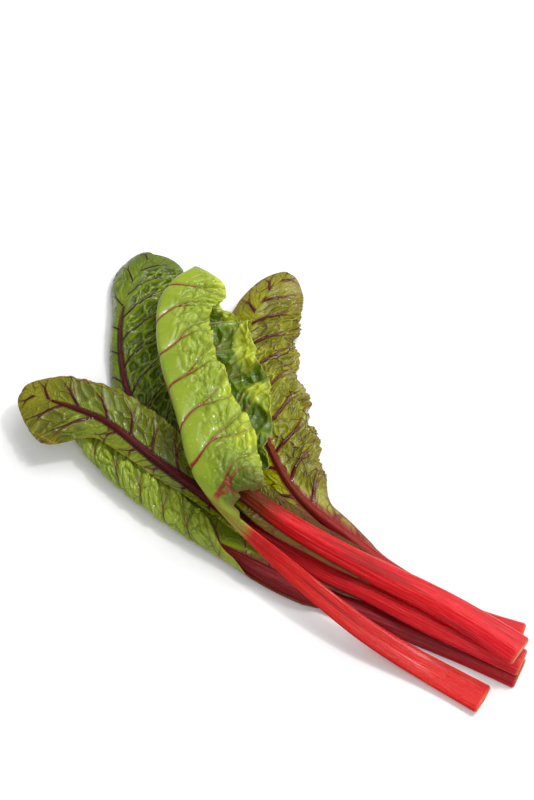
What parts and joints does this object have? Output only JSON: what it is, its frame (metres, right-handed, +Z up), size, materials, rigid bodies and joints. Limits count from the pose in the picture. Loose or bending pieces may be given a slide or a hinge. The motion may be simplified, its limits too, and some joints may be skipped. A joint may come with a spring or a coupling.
{
  "type": "swiss chard bunch",
  "caption": "Loose bunch of red-stalked chard leaves lying flat, with folded, crinkled green blades and long ribbed stalks.",
  "frame": {"origin": "centre of the bunch's box, at the level of the surface it lies on", "axes": "+X runs along the bunch towards the cut stalk ends, +Z is up, and +Y completes the right-handed frame"},
  "size_m": [0.5116, 0.2738, 0.0674],
  "materials": {
    "stalk_red": "bright red fresh stalk, faintly glossy, with fine lengthwise ribs",
    "blade_light_green": "light green leaf, glossy upper side with thin red veins",
    "stalk_crimson": "crimson fresh stalk, faintly glossy",
    "blade_olive": "olive green leaf underside with a dark maroon net of veins",
    "stalk_maroon": "dark maroon midrib and stalk, faintly glossy",
    "blade_mid_green": "green leaf underside with maroon veins and a yellow-green tip",
    "stalk_bright_crimson": "bright crimson wide stalk, faintly glossy",
    "blade_dark_green": "dark green leaf, satin",
    "stalk_dark_red": "dark red stalk, faintly glossy",
    "blade_green": "green leaf, glossy upper side"
  },
  "bodies": {
    "root": {"stalk_front": "stalk_red", "blade_front": "blade_light_green", "stalk_right": "stalk_crimson", "blade_right": "blade_olive", "stalk_left": "stalk_maroon", "blade_left": "blade_mid_green", "stalk_back": "stalk_bright_crimson", "blade_back": "blade_dark_green", "stalk_low": "stalk_dark_red", "blade_low": "blade_green"}
  },
  "joints": []
}
